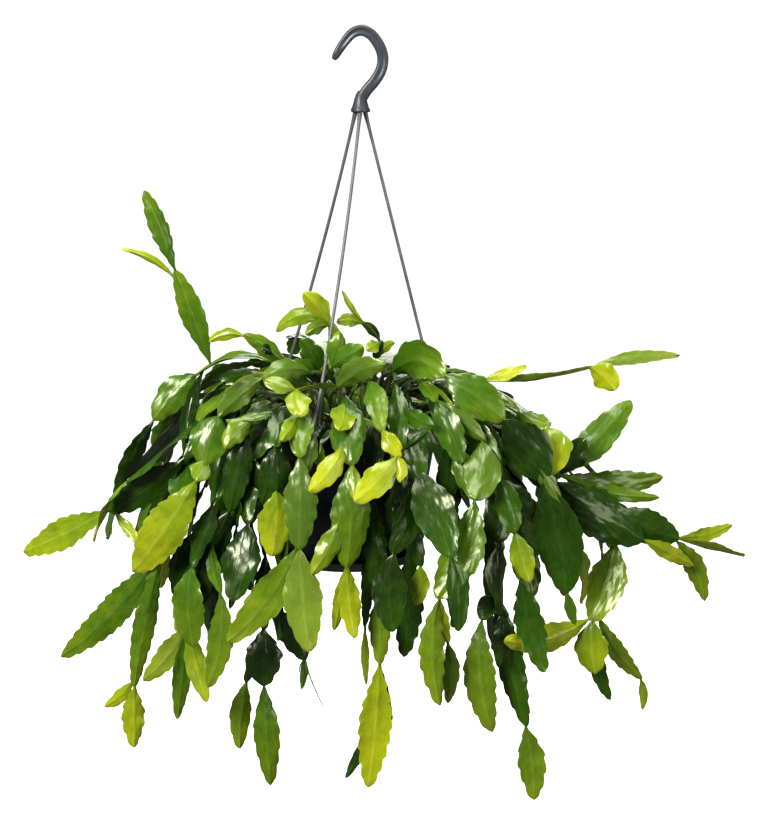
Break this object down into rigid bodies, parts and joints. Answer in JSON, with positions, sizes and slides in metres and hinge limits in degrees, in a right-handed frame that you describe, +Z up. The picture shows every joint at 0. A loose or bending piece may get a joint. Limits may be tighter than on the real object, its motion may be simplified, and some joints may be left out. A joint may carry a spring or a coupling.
{
  "type": "potted hanging cactus plant",
  "caption": "Hanging plastic pot with hook, three hanger strands and saucer, planted with a flat-stemmed trailing cactus of notched green segments.",
  "frame": {"origin": "inner crown of the hook, where it hangs on what holds it", "axes": "+Z up; +X along the plane of the hook, away from its tip; +Y level, away from the side seen in the picture"},
  "size_m": [0.6755, 0.4557, 0.6803],
  "materials": {
    "hook_plastic": "satin moulded plastic",
    "strand_plastic": "satin moulded plastic",
    "pot_plastic": "smooth moulded plastic",
    "saucer_plastic": "satin moulded plastic",
    "potting_soil": "rough crumb of peat and bark",
    "segment_green": "waxy skin with a soft gloss"
  },
  "bodies": {
    "root": {"hook": "hook_plastic", "pot": "pot_plastic", "saucer": "saucer_plastic", "soil": "potting_soil", "spray_back_01": "segment_green", "spray_back_02": "segment_green", "spray_back_03": "segment_green", "spray_back_04": "segment_green", "spray_back_05": "segment_green", "spray_back_06": "segment_green", "spray_back_07": "segment_green", "spray_back_08": "segment_green", "spray_back_09": "segment_green", "spray_back_10": "segment_green", "spray_back_11": "segment_green", "spray_back_12": "segment_green", "spray_back_13": "segment_green", "spray_back_14": "segment_green", "spray_back_15": "segment_green", "spray_back_16": "segment_green", "spray_back_17": "segment_green", "spray_back_18": "segment_green", "spray_back_19": "segment_green", "spray_back_20": "segment_green", "spray_back_21": "segment_green", "spray_back_22": "segment_green", "spray_back_23": "segment_green", "spray_back_24": "segment_green", "spray_crown_cross": "segment_green", "spray_crown_front": "segment_green", "spray_crown_left": "segment_green", "spray_crown_top": "segment_green", "spray_front_cross": "segment_green", "spray_front_dark": "segment_green", "spray_front_hang": "segment_green", "spray_front_left": "segment_green", "spray_front_mid": "segment_green", "spray_front_olive": "segment_green", "spray_front_tail": "segment_green", "spray_left_arch": "segment_green", "spray_left_far": "segment_green", "spray_left_inner": "segment_green", "spray_left_long": "segment_green", "spray_left_low": "segment_green", "spray_left_shoulder": "segment_green", "spray_left_upright": "segment_green", "spray_right_arch": "segment_green", "spray_right_far": "segment_green", "spray_right_flat": "segment_green", "spray_right_fold": "segment_green", "spray_right_front": "segment_green", "spray_right_mid": "segment_green", "spray_right_olive": "segment_green", "spray_right_skirt": "segment_green", "spray_right_star": "segment_green", "spray_right_tail": "segment_green", "spray_under_left": "segment_green", "strand_front": "strand_plastic", "strand_left": "strand_plastic", "strand_right": "strand_plastic"}
  },
  "joints": []
}
